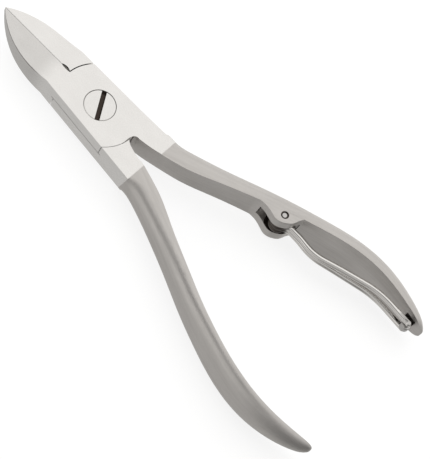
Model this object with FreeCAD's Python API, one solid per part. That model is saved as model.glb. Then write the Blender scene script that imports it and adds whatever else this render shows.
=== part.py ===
import FreeCAD
import Part
import math
import os

# Toenail nipper: two crossed halves on a lap joint, a big slotted pivot screw, and a folding
# spring arm with a roller on one handle.  All sizes are millimetres.
# Origin: pivot axis, on the back face of the joint.  +Y runs to the cutting tip, +Z is the front
# face, +X is the side of the handle that carries the spring arm.

# joint
JOINT_T = 7.4
MID_Z = JOINT_T / 2.0
LAP_GAP = 0.06
LAP_R = 11.10
SHOULDER_R = 11.22
FRONT_BLADE_SHOULDER_R = 11.38
SIDE_TOP_Y = 13.2
SPRING_BAR_END_Y = -19.1
PLAIN_BAR_END_Y = -18.3

# blades
TIP_Y = 33.9
TIP_BACK_Z = 5.9
TAPER_START_Y = 12.0
SEAM_GAP = 0.08

# pivot screw
HEAD_D = 8.3
HEAD_H = 1.5
HEAD_CONE_H = 1.1
SHANK_D = 5.0
BORE_CLEARANCE = 0.08
SLOT_W = 1.25
SLOT_DEPTH = 1.1
SLOT_ANGLE = 31.0
SLOT_OFFSET = 0.2

# spring arm, its pin and the roller
PIN_X = 15.2
PIN_Y = -50.75
PIN_D = 1.6
PIN_L = 10.1
PIN_MOUTH_D = 2.0
EAR_T = 12.0
EAR_SLOT = 3.9
SLOT_FLOOR_R = 3.15
WIRE_D = 1.56
ROOT_HALF_SPREAD = 0.85
LEG_X = 16.15
JOG_Y = -54.6
LEG_BEND_R = (24.0, 40.0, 13.0, 13.0)
END_HALF_SPREAD = 1.95
ROLLER_X = 20.85
ROLLER_Y = -91.2
ROLLER_D = 2.6
ROLLER_W = 2.16
AXLE_D = 0.8
AXLE_L = 5.34
WIRE_END_D = 1.66
POCKET_X = 23.1
POCKET_Y = -90.9
POCKET_D = 3.2

# crown of the blades' front: y, height on the seam, drop at CROWN_HALF_W to either side of it
CROWN_HALF_W = 7.0
CROWN = [
    (12.5, 7.52, 0.10),
    (18.0, 7.27, 0.40),
    (24.0, 7.12, 0.55),
    (30.0, 6.99, 0.60),
    (33.95, 6.90, 0.60),
]

# grip stations: inner face x, y, width across the grip, depth, flat side, squareness of the dome,
# and how far the inner face is hollowed
SPRING_GRIP = [
    (2.4, -17.0, 7.4, 5.7, 4.6, 0.95, 0.02),
    (2.95, -19.4, 7.4, 5.9, 4.2, 0.90, 0.02),
    (3.5, -21.3, 7.4, 5.9, 3.1, 0.68, 0.02),
    (4.9, -25.6, 7.7, 5.9, 2.1, 0.62, 0.04),
    (9.1, -34.5, 8.5, 5.2, 1.0, 0.62, 0.08),
    (13.0, -42.8, 9.3, 4.9, 0.6, 0.62, 0.15),
    (16.6, -51.2, 10.6, 4.6, 0.5, 0.62, 0.25),
    (19.6, -59.5, 12.0, 4.4, 0.4, 0.62, 0.35),
    (22.2, -68.5, 12.8, 4.5, 0.4, 0.6, 0.4),
    (23.5, -78.0, 12.0, 4.3, 0.4, 0.58, 0.4),
    (23.1, -86.8, 9.6, 3.6, 0.4, 0.55, 0.3),
    (22.6, -91.4, 7.5, 2.7, 0.4, 0.55, 0.15),
    (22.3, -93.5, 5.9, 2.0, 0.3, 0.55, 0.06),
    (22.15, -94.6, 4.4, 1.4, 0.25, 0.55, 0.04),
    (22.1, -95.2, 2.8, 0.9, 0.2, 0.55, 0.02),
    (22.08, -95.4, 1.6, 0.5, 0.1, 0.55, 0.01),
]
PLAIN_GRIP = [
    (2.4, -17.0, 7.4, 5.9, 4.6, 0.95, 0.02),
    (2.95, -19.4, 7.4, 6.1, 4.3, 0.92, 0.02),
    (3.5, -21.3, 7.4, 6.1, 3.1, 0.68, 0.02),
    (4.9, -25.6, 7.7, 5.9, 2.1, 0.62, 0.04),
    (9.2, -34.5, 8.6, 4.8, 1.0, 0.62, 0.08),
    (13.1, -42.8, 9.6, 4.2, 0.6, 0.62, 0.15),
    (17.0, -51.2, 10.8, 3.9, 0.5, 0.6, 0.2),
    (20.3, -59.5, 12.0, 3.7, 0.4, 0.57, 0.2),
    (23.0, -68.5, 12.8, 3.7, 0.4, 0.55, 0.2),
    (24.2, -78.0, 12.0, 3.7, 0.4, 0.55, 0.2),
    (23.4, -86.8, 9.2, 3.3, 0.4, 0.55, 0.15),
    (22.2, -92.2, 6.7, 2.5, 0.4, 0.55, 0.1),
    (21.65, -94.4, 5.2, 1.8, 0.3, 0.55, 0.06),
    (21.4, -95.4, 3.8, 1.25, 0.25, 0.55, 0.04),
    (21.3, -95.9, 2.4, 0.8, 0.2, 0.55, 0.02),
    (21.27, -96.05, 1.4, 0.45, 0.1, 0.55, 0.01),
]


def vec(x, y, z=0.0):
    return FreeCAD.Vector(x, y, z)


def spline(points):
    curve = Part.BSplineCurve()
    curve.interpolate([vec(x, y) for x, y in points])
    return curve.toShape()


def polyline(points):
    return [Part.makeLine(vec(*a), vec(*b)) for a, b in zip(points[:-1], points[1:])]


def slab(edges, z_low, z_high):
    face = Part.Face(Part.Wire(Part.__sortEdges__(edges)))
    face.translate(vec(0, 0, z_low))
    return face.extrude(vec(0, 0, z_high - z_low))


def disc(radius, z_low, z_high):
    return Part.makeCylinder(radius, z_high - z_low, vec(0, 0, z_low))


def above_crown():
    # everything in front of the crowned face of the blades
    wires = []
    for y, height, drop in CROWN:
        left = vec(-CROWN_HALF_W, y, height - drop)
        right = vec(CROWN_HALF_W, y, height - drop)
        rise = vec(0, 0, 1.5)
        wires.append(Part.Wire([
            Part.Arc(left, vec(0, y, height), right).toShape(),
            Part.makeLine(right, right + rise),
            Part.makeLine(right + rise, left + rise),
            Part.makeLine(left + rise, left),
        ]))
    return Part.makeLoft(wires, True, False)


def below_taper():
    # the long taper on the back of the blades
    curve = Part.Arc(
        vec(-20, TAPER_START_Y, 0.0),
        vec(-20, 23.5, 1.7),
        vec(-20, TIP_Y + 1.0, TIP_BACK_Z),
    ).toShape()
    rest = Part.makePolygon([
        vec(-20, TIP_Y + 1.0, TIP_BACK_Z),
        vec(-20, TIP_Y + 1.0, -1.0),
        vec(-20, TAPER_START_Y, -1.0),
        vec(-20, TAPER_START_Y, 0.0),
    ])
    return Part.Face(Part.Wire([curve] + rest.Edges)).extrude(vec(40, 0, 0))


def blade(side):
    # side is -1 for the blade left of the seam, +1 for the blade right of it
    edge = side * SEAM_GAP / 2.0
    tip = (0.15 + edge, TIP_Y)
    heel = (0.35 + edge, 14.1)
    notch = (0.35 + edge, 11.1)
    if side < 0:
        relief = spline([heel, (0.15 + edge, 12.6), notch])
        outer = [(-5.85, SIDE_TOP_Y), (-6.1, 17.8), (-5.3, 24.2), (-3.3, 29.3), tip]
        base = [notch, (0.35 + edge, 8.0), (-6.3, 8.0), outer[0]]
    else:
        relief = spline([heel, (0.85 + edge, 12.4), notch])
        outer = [(6.7, SIDE_TOP_Y), (6.0, 18.8), (5.1, 24.2), (3.4, 28.9), tip]
        base = [notch, (0.35 + edge, 8.0), (6.8, 8.0), outer[0]]
    edges = [Part.makeLine(vec(*tip), vec(*heel)), relief, spline(outer)]
    body = slab(edges + polyline(base), 0.0, JOINT_T)
    return body.cut(above_crown()).cut(below_taper())


def lap(z_low, z_high):
    band = slab(polyline([
        (-5.85, SIDE_TOP_Y),
        (6.7, SIDE_TOP_Y),
        (7.4, -14.0),
        (-8.1, -14.0),
        (-5.85, SIDE_TOP_Y),
    ]), z_low, z_high)
    return band.common(disc(LAP_R, z_low, z_high))


def bar(side):
    # the straight polished bar between the joint and the grip
    if side > 0:
        end = SPRING_BAR_END_Y
        inner = spline([(1.3, -11.9), (1.55, -13.6), (2.9, end)])
        ring = [(2.9, end), (7.45, end), (7.7, end + 1.7), (7.25, -8.0)]
        ring += [(0.0, -8.0), (0.0, -11.6), (1.3, -11.9)]
    else:
        end = PLAIN_BAR_END_Y
        inner = spline([(-0.85, -11.3), (-1.45, -12.2), (-1.9, -13.5), (-2.35, -15.4), (-2.85, end)])
        ring = [(-2.85, end), (-8.45, end), (-7.6, -8.0), (-0.85, -8.0), (-0.85, -11.3)]
    return slab([inner] + polyline(ring), 0.0, JOINT_T)


def throat():
    # the rounded root of the gap between the two bars, cut into the joint
    root = spline([(-3.4, -10.56), (-1.7, -10.8), (0.0, -10.9), (0.95, -11.35), (1.4, -12.4)])
    rest = polyline([(1.4, -12.4), (1.4, -13.0), (-3.4, -13.0), (-3.4, -10.56)])
    return slab([root] + rest, -0.1, JOINT_T + 0.1)


def quarter(a, b, corner, square):
    # quarter round from a to b inside the corner; square 0.55 is an ellipse, 1 nearly fills the corner
    curve = Part.BezierCurve()
    curve.setPoles([a, a + (corner - a) * square, b + (corner - b) * square, b])
    return curve.toShape()


def grip_frames(stations, side):
    # foot of each section on the inner face, and the direction across the grip, away from it
    spine = Part.BSplineCurve()
    feet = [vec(side * s[0], s[1], MID_Z) for s in stations]
    spine.interpolate(feet)
    frames = []
    for foot in feet:
        along = spine.tangent(spine.parameter(foot))[0]
        frames.append((foot, vec(0, 0, 1).cross(along) * side))
    return frames


def grip_section(foot, out, width, depth, flat, square, hollow):
    half = vec(0, 0, width / 2.0)
    crown = foot + out * depth
    front = foot + half + out * flat
    back = foot - half + out * flat
    return Part.Wire([
        Part.Arc(foot - half, foot + out * hollow, foot + half).toShape(),
        Part.makeLine(foot + half, front),
        quarter(front, crown, crown + half, square),
        quarter(crown, back, crown - half, square),
        Part.makeLine(back, foot - half),
    ])


def grip(stations, side):
    frames = grip_frames(stations, side)
    wires = [grip_section(*frame, *s[2:]) for frame, s in zip(frames, stations)]
    return Part.makeLoft(wires, True, False)


def ears():
    # a tall block round the pin, trimmed in side view to the width of the grip beside it
    low = MID_Z - EAR_T / 2.0
    shoulder = [(12.0, -40.3), (13.35, -43.4), (13.6, -45.9), (13.1, -48.3), (12.75, -49.9)]
    nose = [(13.1, -51.4), (13.8, -52.5), (14.8, -53.5), (15.9, -54.0), (16.9, -54.3)]
    foot = [(18.0, -54.9), (19.0, -55.8)]
    inside = [(19.0, -55.8), (17.4, -51.2), (14.0, -43.4), (12.5, -39.6), (12.0, -40.3)]
    block = slab([spline(shoulder + nose + foot)] + polyline(inside), low, low + EAR_T)
    side_view = [(s[1], s[2] / 2.0 - 0.02) for s in SPRING_GRIP[3:8]]
    upper = [vec(0, y, MID_Z + half) for y, half in side_view]
    lower = [vec(0, y, MID_Z - half) for y, half in reversed(side_view)]
    band = Part.Face(Part.makePolygon(upper + lower + upper[:1])).extrude(vec(40, 0, 0))
    return block.common(band)


def ear_slot():
    low = MID_Z - EAR_SLOT / 2.0
    bore = Part.makeCylinder(SLOT_FLOOR_R, EAR_SLOT, vec(PIN_X, PIN_Y, low))
    mouth = slab(polyline([
        (8.0, -43.2),
        (14.4, -45.2),
        (PIN_X + SLOT_FLOOR_R, PIN_Y),
        (PIN_X + SLOT_FLOOR_R, -54.8),
        (17.4, -56.0),
        (8.0, -64.0),
        (8.0, -43.2),
    ]), low, low + EAR_SLOT)
    return bore.fuse(mouth)


def pin_hole():
    through = Part.makeCylinder(PIN_D / 2.0, EAR_T, vec(PIN_X, PIN_Y, MID_Z - EAR_T / 2.0))
    mouths = [
        Part.makeCylinder(PIN_MOUTH_D / 2.0, 1.0, vec(PIN_X, PIN_Y, z))
        for z in (MID_Z - PIN_L / 2.0 - 0.8, MID_Z + PIN_L / 2.0 - 0.2)
    ]
    return through.multiFuse(mouths)


def roller_pocket():
    return Part.makeCylinder(POCKET_D / 2.0, 3.4, vec(POCKET_X, POCKET_Y, MID_Z - 1.7))


def screw_space(extra):
    head = disc(HEAD_D / 2.0 + extra, JOINT_T - HEAD_H - extra, JOINT_T + 0.1)
    cone = Part.makeCone(
        SHANK_D / 2.0 + extra,
        HEAD_D / 2.0 + extra,
        HEAD_CONE_H,
        vec(0, 0, JOINT_T - HEAD_H - HEAD_CONE_H - extra),
    )
    shank = disc(SHANK_D / 2.0 + extra, 0.0, JOINT_T - HEAD_H)
    return head.multiFuse([cone, shank])


def spring_half():
    top = MID_Z + LAP_GAP / 2.0
    body = blade(-1).multiFuse([bar(1), grip(SPRING_GRIP, 1), ears()]).cut(disc(SHOULDER_R, -1.0, top))
    body = body.fuse(lap(top, JOINT_T)).cut(screw_space(BORE_CLEARANCE))
    return body.cut(ear_slot().multiFuse([pin_hole(), roller_pocket(), throat()])).removeSplitter()


def plain_half():
    low = MID_Z - LAP_GAP / 2.0
    head = blade(1).cut(disc(FRONT_BLADE_SHOULDER_R, low, JOINT_T + 1.0))
    tail = bar(-1).fuse(grip(PLAIN_GRIP, -1)).cut(disc(SHOULDER_R, low, JOINT_T + 1.0))
    body = head.multiFuse([tail, lap(0.0, low)])
    return body.cut(disc(SHANK_D / 2.0, -0.1, JOINT_T)).removeSplitter()


def pivot_screw():
    head = disc(HEAD_D / 2.0, JOINT_T - HEAD_H, JOINT_T)
    head = head.makeChamfer(0.15, [e for e in head.Edges if e.CenterOfMass.z > JOINT_T - 0.01])
    cone = Part.makeCone(
        SHANK_D / 2.0,
        HEAD_D / 2.0,
        HEAD_CONE_H,
        vec(0, 0, JOINT_T - HEAD_H - HEAD_CONE_H),
    )
    shank = disc(SHANK_D / 2.0, 0.0, JOINT_T - HEAD_H)
    slot = Part.makeBox(HEAD_D + 1.0, SLOT_W, SLOT_DEPTH + 0.1)
    slot.translate(vec(-HEAD_D / 2.0 - 0.5, -SLOT_W / 2.0 - SLOT_OFFSET, JOINT_T - SLOT_DEPTH))
    slot.rotate(vec(0, 0, 0), vec(0, 0, 1), SLOT_ANGLE)
    return head.multiFuse([cone, shank]).cut(slot).removeSplitter()


def around_pin(radius, degrees, z):
    angle = math.radians(degrees)
    return vec(PIN_X + radius * math.cos(angle), PIN_Y + radius * math.sin(angle), z)


def rounded_path(points, radii):
    # straight runs through the points, with a tangent arc of its own radius at each inner point
    edges = []
    start = points[0]
    for before, corner, after, radius in zip(points, points[1:], points[2:], radii):
        inward = (before - corner).normalize()
        onward = (after - corner).normalize()
        half_angle = inward.getAngle(onward) / 2.0
        reach = radius / math.tan(half_angle)
        middle = corner + (inward + onward).normalize() * (radius / math.sin(half_angle) - radius)
        edges.append(Part.makeLine(start, corner + inward * reach))
        edges.append(Part.Arc(corner + inward * reach, middle, corner + onward * reach).toShape())
        start = corner + onward * reach
    return edges + [Part.makeLine(start, points[-1])]


def hairpin_half():
    # one of the two equal wires: a softly bent leg from the roller up into the slot, a jog to the
    # side, a turn over the pin, and half of the bend that joins it to the other wire
    eye = (PIN_D + WIRE_D) / 2.0 + 0.04
    root = MID_Z + ROOT_HALF_SPREAD
    start = vec(ROLLER_X, ROLLER_Y, MID_Z + END_HALF_SPREAD)
    jog_start = vec(LEG_X, JOG_Y, root)
    leg = [
        start,
        vec(21.35, -80.7, MID_Z + 1.9),
        vec(17.9, -69.5, MID_Z + 1.3),
        vec(LEG_X - 0.55, -62.6, root),
        vec(LEG_X, -57.5, root),
        jog_start,
    ]
    aside = LEG_X - PIN_X
    rise = PIN_Y - JOG_Y
    jog_r = (aside ** 2 + rise ** 2 - eye ** 2) / (2.0 * (eye + aside))
    jog = math.atan2(rise, jog_r - aside)
    jog_centre = vec(LEG_X - jog_r, JOG_Y, root)
    jog_middle = jog_centre + vec(math.cos(jog / 2.0), math.sin(jog / 2.0)) * jog_r
    touch = jog_centre + vec(math.cos(jog), math.sin(jog)) * jog_r
    turn_middle = around_pin(eye, (math.degrees(jog) + 180.0) / 2.0, root)
    turn_end = around_pin(eye, 0, root)
    drop = ROOT_HALF_SPREAD * math.sqrt(0.5)
    bend_middle = vec(turn_end.x, PIN_Y - drop, MID_Z + drop)
    bend_end = vec(turn_end.x, PIN_Y - ROOT_HALF_SPREAD, MID_Z)
    path = Part.Wire(rounded_path(leg, LEG_BEND_R) + [
        Part.Arc(jog_start, jog_middle, touch).toShape(),
        Part.Arc(touch, turn_middle, turn_end).toShape(),
        Part.Arc(turn_end, bend_middle, bend_end).toShape(),
    ])
    section = Part.Wire(Part.makeCircle(WIRE_D / 2.0, start, leg[1] - leg[0]))
    return path.makePipeShell([section], True, False)


def spring_arm():
    half_arm = hairpin_half()
    arm = half_arm.fuse(half_arm.mirror(vec(0, 0, MID_Z), vec(0, 0, 1)))
    for sign in (-1, 1):
        end = vec(ROLLER_X, ROLLER_Y, MID_Z + sign * END_HALF_SPREAD)
        arm = arm.fuse(Part.makeSphere(WIRE_END_D / 2.0, end))
    half = END_HALF_SPREAD + WIRE_D
    bore = Part.makeCylinder(AXLE_D / 2.0, 2.0 * half, vec(ROLLER_X, ROLLER_Y, MID_Z - half))
    return arm.cut(bore).removeSplitter()


def arm_pin():
    return Part.makeCylinder(PIN_D / 2.0, PIN_L, vec(PIN_X, PIN_Y, MID_Z - PIN_L / 2.0))


def roller():
    low = MID_Z - ROLLER_W / 2.0
    body = Part.makeCylinder(ROLLER_D / 2.0, ROLLER_W, vec(ROLLER_X, ROLLER_Y, low))
    bore = Part.makeCylinder(AXLE_D / 2.0 + 0.05, ROLLER_W, vec(ROLLER_X, ROLLER_Y, low))
    return body.cut(bore)


def roller_axle():
    return Part.makeCylinder(AXLE_D / 2.0, AXLE_L, vec(ROLLER_X, ROLLER_Y, MID_Z - AXLE_L / 2.0))


os.makedirs("parts", exist_ok=True)
spring_half().exportStep("parts/spring_side_half.step")
plain_half().exportStep("parts/plain_side_half.step")
pivot_screw().exportStep("parts/pivot_screw.step")
spring_arm().exportStep("parts/spring_arm.step")
arm_pin().exportStep("parts/arm_pin.step")
roller().exportStep("parts/roller.step")
roller_axle().exportStep("parts/roller_axle.step")
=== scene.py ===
import bpy
import math
from mathutils import Matrix, Vector


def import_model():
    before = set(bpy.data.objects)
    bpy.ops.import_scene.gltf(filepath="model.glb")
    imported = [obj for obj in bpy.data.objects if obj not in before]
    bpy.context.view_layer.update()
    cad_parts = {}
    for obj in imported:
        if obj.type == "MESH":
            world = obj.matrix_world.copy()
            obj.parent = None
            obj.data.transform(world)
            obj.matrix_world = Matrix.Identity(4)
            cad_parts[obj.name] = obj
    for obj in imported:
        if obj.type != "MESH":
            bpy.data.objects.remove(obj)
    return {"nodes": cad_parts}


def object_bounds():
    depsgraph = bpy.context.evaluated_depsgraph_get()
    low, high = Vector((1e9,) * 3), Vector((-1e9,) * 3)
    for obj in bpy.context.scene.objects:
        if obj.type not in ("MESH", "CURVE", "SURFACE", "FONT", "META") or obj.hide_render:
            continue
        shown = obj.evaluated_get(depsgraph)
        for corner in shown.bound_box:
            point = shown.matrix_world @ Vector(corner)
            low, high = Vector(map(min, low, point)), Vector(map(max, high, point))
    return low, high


# Toenail nipper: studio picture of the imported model.  The CAD pieces keep their shapes; this
# script softens their edges, gives every piece a procedural steel, and sets floor, light and camera.
# Lengths inside the materials are millimetres in the row frame.

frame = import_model()
cad_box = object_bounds()
nodes = frame["nodes"]

# places shared by the materials, all in millimetres
JOINT_T = 7.4
MID_Z = 3.7
LAP_R = 11.24
PIN = (15.2, -50.75)
ROLLER = (20.85, -91.2)
POCKET = (23.1, -90.9)

# dark colours of painted shade, for the gaps, slots, recesses and the wire's turn inside the slot
PAINTED_SHADE = (0.09, 0.075, 0.065, 1.0)
PIN_RIM_PAINTED_SHADE = (0.07, 0.06, 0.055, 1.0)
SCREW_SLOT_PAINTED_SHADE = (0.05, 0.04, 0.034, 1.0)
WIRE_PAINTED_SHADE = (0.12, 0.105, 0.095, 1.0)

# how far the centre line of a grip lies from the middle plane: share of its length, share of 30 mm
GRIP_LOW_Y = -96.0
GRIP_LENGTH = 80.0
GRIP_REACH = 30.0
GRIP_LINE = ((0.0, 0.72), (0.12, 0.77), (0.25, 0.775), (0.42, 0.68), (0.6, 0.51), (0.8, 0.29), (1.0, 0.08))


class Steel:
    """A node material built step by step, with the row frame's x, y, z in millimetres."""

    def __init__(self, name):
        self.material = bpy.data.materials.new(name)
        self.material.use_nodes = True
        self.tree = self.material.node_tree
        self.tree.nodes.clear()
        coord = self.add("ShaderNodeTexCoord")
        place = coord.outputs["Object"]
        self.normal = coord.outputs["Normal"]
        to_mm = {0: place, "Scale": 1000.0}
        self.mm = self.add("ShaderNodeVectorMath", to_mm, operation="SCALE").outputs[0]
        split = self.add("ShaderNodeSeparateXYZ", {0: self.mm})
        self.x, self.y, self.z = split.outputs

    def add(self, kind, inputs=None, **settings):
        node = self.tree.nodes.new(kind)
        for name, value in settings.items():
            setattr(node, name, value)
        for name, value in (inputs or {}).items():
            if isinstance(value, bpy.types.NodeSocket):
                self.tree.links.new(value, node.inputs[name])
            else:
                node.inputs[name].default_value = value
        return node

    def math(self, operation, *values):
        return self.add("ShaderNodeMath", dict(enumerate(values)), operation=operation).outputs[0]

    def both(self, a, b):
        return self.math("MULTIPLY", a, b)

    def either(self, a, b):
        return self.math("MAXIMUM", a, b)

    def step(self, value, low, high, out_low=0.0, out_high=1.0):
        ends = {"Value": value, "From Min": low, "From Max": high, "To Min": out_low, "To Max": out_high}
        return self.add("ShaderNodeMapRange", ends, interpolation_type="SMOOTHSTEP").outputs[0]

    def blend(self, share, a, b):
        return self.add("ShaderNodeMix", {0: share, 2: a, 3: b}, data_type="FLOAT").outputs[0]

    def tint(self, share, a, b):
        return self.add("ShaderNodeMix", {0: share, 6: a, 7: b}, data_type="RGBA").outputs[2]

    def noise(self, place, scale, detail=3.0, rough=0.55):
        stretched = self.add("ShaderNodeVectorMath", {0: place, 1: scale}, operation="MULTIPLY").outputs[0]
        inputs = {"Vector": stretched, "Scale": 1.0, "Detail": detail, "Roughness": rough}
        return self.add("ShaderNodeTexNoise", inputs).outputs[0]

    def point(self, x, y, z):
        return self.add("ShaderNodeCombineXYZ", {0: x, 1: y, 2: z}).outputs[0]

    def away_from(self, x, y):
        # distance from an upright axis through x, y
        dx = self.math("SUBTRACT", self.x, x)
        dy = self.math("SUBTRACT", self.y, y)
        return self.math("SQRT", self.math("ADD", self.both(dx, dx), self.both(dy, dy)))

    def band(self, value, centre, half, soft):
        off = self.math("ABSOLUTE", self.math("SUBTRACT", value, centre))
        return self.step(off, half, half + soft, 1.0, 0.0)

    def finish(self, colour, rough, height, bump):
        metal = {"Base Color": colour, "Roughness": rough, "Metallic": 1.0}
        shader = self.add("ShaderNodeBsdfPrincipled", metal)
        relief = self.add("ShaderNodeBump", {"Height": height, "Strength": bump, "Distance": 0.00002})
        self.tree.links.new(relief.outputs[0], shader.inputs["Normal"])
        out = self.add("ShaderNodeOutputMaterial")
        self.tree.links.new(shader.outputs[0], out.inputs[0])
        return self.material


def rgb(r, g, b):
    return (r, g, b, 1.0)


def across_grip(s, side):
    # distance across the handle from its curved centre line, so that the grain follows the curve
    share = s.math("DIVIDE", s.math("SUBTRACT", s.y, GRIP_LOW_Y), GRIP_LENGTH)
    curve = s.add("ShaderNodeFloatCurve", {"Value": share})
    points = curve.mapping.curves[0].points
    points[0].location = GRIP_LINE[0]
    points[1].location = GRIP_LINE[-1]
    for at in GRIP_LINE[1:-1]:
        points.new(*at)
    curve.mapping.update()
    return s.math("SUBTRACT", s.x, s.math("MULTIPLY", curve.outputs[0], GRIP_REACH * side))


def joint_painted_shade(s, upward):
    # painted shade: darker colour in the seam between the two layers on the outer walls, and in the round
    # gap of the lap on the faces
    away = s.away_from(0.0, 0.0)
    on_wall = s.both(s.band(s.z, MID_Z, 0.07, 0.06), s.band(upward, 0.0, 0.3, 0.3))
    seam = s.both(on_wall, s.step(away, 11.6, 11.9, 1.0, 0.0))
    below_face = s.both(s.step(s.z, 7.25, 7.33, 1.0, 0.0), s.band(s.x, 0.0, 5.3, 0.3))
    return s.either(seam, s.both(s.band(away, LAP_R, 0.13, 0.05), below_face))


def spring_side_painted_shade(s, facing):
    # painted shade: darker colour in the slot between the ears, the mouths of the pin hole and the
    # roller's pocket, and a painted dark line where the outer wall of the left blade meets its face
    from_pin = s.away_from(*PIN)
    slot = s.both(s.step(from_pin, 3.25, 3.35, 1.0, 0.0), s.band(s.z, MID_Z, 1.97, 0.03))
    mouth = s.both(s.step(from_pin, 1.0, 1.12, 1.0, 0.0), s.step(s.z, 6.0, 6.2))
    near_pocket = s.step(s.away_from(*POCKET), 1.5, 1.8, 0.8, 0.0)
    pocket = s.both(near_pocket, s.band(s.z, MID_Z, 1.72, 0.04))
    on_wall = s.both(s.step(facing, -0.6, -0.4, 1.0, 0.0), s.step(s.y, 14.5, 17.5))
    below_face = s.math("SUBTRACT", s.z, s.step(s.y, 13.5, 20.0, 7.35, 6.86))
    line = s.both(on_wall, s.step(below_face, -0.42, -0.3, 0.0, 0.85))
    line = s.both(line, s.step(s.y, 30.0, 33.0, 1.0, 0.2))
    return s.either(line, s.either(slot, s.either(mouth, pocket)))


def half_steel(name, side, end_front, end_back):
    # forged half: polished blade, joint and bar; satin grip with fine lengthwise grain; side is +1
    # for the spring side, and the two ends are the y where the polish stops, on front and back
    s = Steel(name)
    facing, _, upward = s.add("ShaderNodeSeparateXYZ", {0: s.normal}).outputs
    end = s.blend(s.math("DIVIDE", s.z, JOINT_T), end_back, end_front)
    over = s.math("SUBTRACT", s.y, end)
    towards_middle = s.step(s.math("MULTIPLY", facing, float(-side)), 0.5, 0.7)
    inner = s.both(towards_middle, s.step(s.y, -9.5, -9.0, 1.0, 0.0))
    polished = s.both(s.step(over, -0.12, 0.12), s.math("SUBTRACT", 1.0, inner))

    along = s.point(across_grip(s, side), s.y, s.z)
    fine = s.noise(along, (9.0, 0.35, 9.0), 3.0, 0.6)
    broad = s.noise(along, (1.6, 0.06, 1.6), 3.0, 0.55)
    cloud = s.noise(s.mm, (0.16, 0.09, 0.16), 2.0, 0.5)
    strokes = s.noise(s.mm, (7.0, 1.2, 7.0), 3.0, 0.6)
    haze = s.noise(s.mm, (0.35, 0.2, 0.35), 3.0, 0.5)

    satin = s.tint(broad, rgb(0.54, 0.522, 0.503), rgb(0.675, 0.655, 0.635))
    bright = s.tint(haze, rgb(0.80, 0.79, 0.775), rgb(0.87, 0.86, 0.845))
    # painted shade: dark colour in the joint's seam and lap gap, and on the spring side in the ear slot,
    # pin hole mouths, roller pocket and along the left blade's edge
    shade_mask = joint_painted_shade(s, upward)
    if side > 0:
        # painted shade: the left blade is coloured greyer than the joint, though it is the same steel
        left_blade_painted_shade = s.tint(haze, rgb(0.64, 0.63, 0.615), rgb(0.71, 0.70, 0.685))
        bright = s.tint(s.step(s.y, 12.5, 18.0), bright, left_blade_painted_shade)
        shade_mask = s.either(shade_mask, spring_side_painted_shade(s, facing))
    colour = s.tint(shade_mask, s.tint(polished, satin, bright), PAINTED_SHADE)

    mottle = s.math("ADD", s.math("MULTIPLY", fine, 0.6), s.math("MULTIPLY", cloud, 0.4))
    satin_rough = s.step(mottle, 0.3, 0.7, 0.38, 0.52)
    rough = s.blend(polished, satin_rough, s.step(strokes, 0.3, 0.7, 0.2, 0.28))
    height = s.blend(polished, fine, s.math("MULTIPLY", strokes, 0.1))
    return s.finish(colour, rough, height, 0.35)


def turned_steel(name, x, y, dark, light, low, high, deep=None, rim=None):
    # lathe-turned piece: rings round its own axis; painted shade darkens it below the height deep and
    # beyond the radius rim
    s = Steel(name)
    radius = s.away_from(x, y)
    rings = s.noise(s.point(radius, 0.0, s.z), (9.0, 1.0, 9.0), 3.0, 0.6)
    haze = s.noise(s.mm, (0.8, 0.8, 0.8), 2.0, 0.5)
    colour = s.tint(haze, dark, light)
    rough = s.step(rings, 0.3, 0.7, low, high)
    if deep is not None:
        # painted shade inside the screw's slot
        colour = s.tint(s.step(s.z, deep - 0.12, deep, 1.0, 0.0), colour, SCREW_SLOT_PAINTED_SHADE)
    if rim is not None:
        # painted shade round the pin's rim, where it sits in its hole
        colour = s.tint(s.step(radius, rim - 0.15, rim), colour, PIN_RIM_PAINTED_SHADE)
    return s.finish(colour, rough, rings, 0.25)


def wire_steel(name):
    # drawn wire: bright, with faint lengthwise die marks; rougher where it turns inside the slot, and
    # darkened there by painted shade
    s = Steel(name)
    marks = s.noise(s.mm, (5.0, 0.15, 5.0), 2.0, 0.5)
    haze = s.noise(s.mm, (0.5, 0.1, 0.5), 2.0, 0.5)
    colour = s.tint(haze, rgb(0.80, 0.785, 0.765), rgb(0.88, 0.865, 0.845))
    inside = s.step(s.away_from(*PIN), 2.3, 3.3, 1.0, 0.0)
    # painted shade on the wire where it turns inside the slot
    colour = s.tint(inside, colour, WIRE_PAINTED_SHADE)
    rough = s.step(marks, 0.3, 0.7, 0.10, 0.16)
    return s.finish(colour, s.blend(inside, rough, 0.4), marks, 0.05)


POLISHED = (rgb(0.79, 0.78, 0.765), rgb(0.86, 0.85, 0.835))
PIN_STEEL = (rgb(0.55, 0.54, 0.53), rgb(0.68, 0.67, 0.66))
TURNED = (rgb(0.5, 0.49, 0.48), rgb(0.62, 0.61, 0.6))
MATERIALS = {
    "spring_side_half": half_steel("forged_steel_spring_side", 1, -19.1, -19.1),
    "plain_side_half": half_steel("forged_steel_plain_side", -1, -18.3, -17.4),
    "pivot_screw": turned_steel("screw_steel", 0.0, 0.0, *POLISHED, 0.2, 0.28, deep=7.22),
    "spring_arm": wire_steel("spring_wire"),
    "arm_pin": turned_steel("pin_steel", *PIN, *PIN_STEEL, 0.3, 0.42, rim=0.68),
    "roller": turned_steel("roller_steel", *ROLLER, *TURNED, 0.22, 0.34),
    "roller_axle": turned_steel("axle_steel", *ROLLER, *TURNED, 0.25, 0.36),
}
# how much each piece's edges are rounded
EDGE_MM = {
    "spring_side_half": 0.10,
    "plain_side_half": 0.10,
    "pivot_screw": 0.04,
    "spring_arm": 0.0,
    "arm_pin": 0.06,
    "roller": 0.12,
    "roller_axle": 0.06,
}


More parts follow.
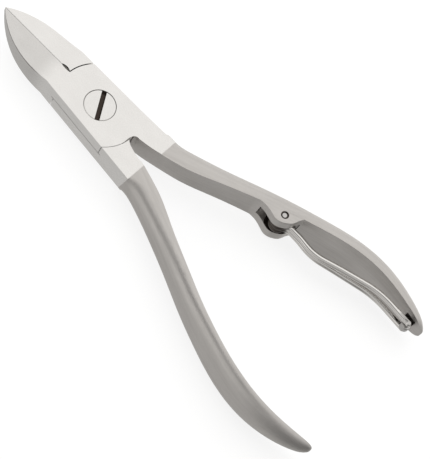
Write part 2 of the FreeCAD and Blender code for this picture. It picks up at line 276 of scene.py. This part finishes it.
def soften(obj, width_mm):
    # join the split vertices, merge flat facets, round the edges a little, keep flat faces flat
    weld = obj.modifiers.new("join", "WELD")
    weld.merge_threshold = 0.000002
    if width_mm > 0.0:
        flat = obj.modifiers.new("flat", "DECIMATE")
        flat.decimate_type = "DISSOLVE"
        flat.angle_limit = math.radians(0.2)
        bevel = obj.modifiers.new("edges", "BEVEL")
        bevel.width = width_mm / 1000.0
        bevel.segments = 2
        bevel.limit_method = "ANGLE"
        bevel.angle_limit = math.radians(35.0)
    normal = obj.modifiers.new("normals", "WEIGHTED_NORMAL")
    normal.keep_sharp = False


for name, obj in nodes.items():
    obj.data.materials.clear()
    obj.data.materials.append(MATERIALS[name])
    soften(obj, EDGE_MM[name])


# direction, outer and inner angle in degrees, radiance; later ones lie over earlier ones
BASE_RADIANCE = 0.56
SURROUND = [
    ((0.0, 0.0, -1.0), 100.0, 60.0, 0.56),
    ((-0.50, -0.80, -0.10), 56.0, 26.0, 0.20),
    ((0.90, 0.10, -0.42), 62.0, 30.0, 0.98),
    ((-0.30, 0.29, 0.91), 38.0, 18.0, 0.25),
    ((-0.81, 0.46, 0.34), 30.0, 14.0, 0.88),
    ((0.50, 0.02, 0.866), 48.0, 34.0, 0.97),
]


def floor():
    # white paper under the tool; it glows so that the shadows stay faint, and metal doesn't mirror it
    low = cad_box[0].z - 0.00002
    far = 3.0
    corners = [(-far, -far, low), (far, -far, low), (far, far, low), (-far, far, low)]
    mesh = bpy.data.meshes.new("floor")
    mesh.from_pydata(corners, [], [(0, 1, 2, 3)])
    obj = bpy.data.objects.new("floor", mesh)
    bpy.context.scene.collection.objects.link(obj)
    material = bpy.data.materials.new("floor_paper")
    material.use_nodes = True
    shader = material.node_tree.nodes["Principled BSDF"]
    shader.inputs["Base Color"].default_value = (0.2, 0.2, 0.2, 1.0)
    shader.inputs["Emission Color"].default_value = (1.0, 1.0, 1.0, 1.0)
    shader.inputs["Emission Strength"].default_value = 0.82
    shader.inputs["Roughness"].default_value = 1.0
    shader.inputs["Specular IOR Level"].default_value = 0.0
    mesh.materials.append(material)
    obj.visible_glossy = False


def floor_light(place, target, size, radiance):
    # square panel that lights the floor and isn't mirrored in the metal
    data = bpy.data.lights.new("floor_key", "AREA")
    data.shape = "RECTANGLE"
    data.size = size
    data.size_y = size
    data.energy = radiance * math.pi * size * size
    obj = bpy.data.objects.new("floor_key", data)
    obj.location = place
    obj.rotation_mode = "QUATERNION"
    obj.rotation_quaternion = (Vector(place) - Vector(target)).to_track_quat("Z", "Y")
    obj.visible_glossy = False
    bpy.context.scene.collection.objects.link(obj)


def world():
    # studio surround: mid grey, with brighter and darker patches in the directions of SURROUND
    made = bpy.data.worlds.new("studio")
    bpy.context.scene.world = made
    made.use_nodes = True
    tree = made.node_tree
    tree.nodes.clear()
    coord = tree.nodes.new("ShaderNodeTexCoord")

    def near(direction, outer, inner):
        # 1 within the inner angle of a direction, 0 beyond the outer one
        dot = tree.nodes.new("ShaderNodeVectorMath")
        dot.operation = "DOT_PRODUCT"
        dot.inputs[1].default_value = Vector(direction).normalized()
        tree.links.new(coord.outputs["Generated"], dot.inputs[0])
        ramp = tree.nodes.new("ShaderNodeMapRange")
        ramp.interpolation_type = "SMOOTHSTEP"
        ramp.inputs["From Min"].default_value = math.cos(math.radians(outer))
        ramp.inputs["From Max"].default_value = math.cos(math.radians(inner))
        tree.links.new(dot.outputs["Value"], ramp.inputs["Value"])
        return ramp.outputs[0]

    value = None
    for direction, outer, inner, radiance in SURROUND:
        mix = tree.nodes.new("ShaderNodeMix")
        mix.inputs["A"].default_value = BASE_RADIANCE
        mix.inputs["B"].default_value = radiance
        tree.links.new(near(direction, outer, inner), mix.inputs["Factor"])
        if value is not None:
            tree.links.new(value, mix.inputs["A"])
        value = mix.outputs["Result"]
    back = tree.nodes.new("ShaderNodeBackground")
    out = tree.nodes.new("ShaderNodeOutputWorld")
    tree.links.new(value, back.inputs["Strength"])
    tree.links.new(back.outputs[0], out.inputs[0])
    back.inputs["Color"].default_value = (1.0, 0.985, 0.965, 1.0)


def camera():
    data = bpy.data.cameras.new("camera")
    data.sensor_fit = "AUTO"
    data.sensor_width = 36.0
    data.lens = 153.22
    data.clip_start = 0.02
    data.clip_end = 20.0
    obj = bpy.data.objects.new("camera", data)
    right = Vector((0.6618, -0.6905, 0.2918))
    up = Vector((0.5991, 0.7212, 0.3478))
    back = right.cross(up)
    turn = Matrix((right, up, back)).transposed().to_4x4()
    obj.matrix_world = Matrix.Translation((-0.2159, -0.0681, 0.4327)) @ turn
    bpy.context.scene.collection.objects.link(obj)
    bpy.context.scene.camera = obj


floor()
world()
middle = (cad_box[0] + cad_box[1]) / 2.0
floor_light((0.5, 0.6, 0.9), middle, 2.0, 1.3)
camera()
bpy.context.scene.view_settings.view_transform = "Standard"
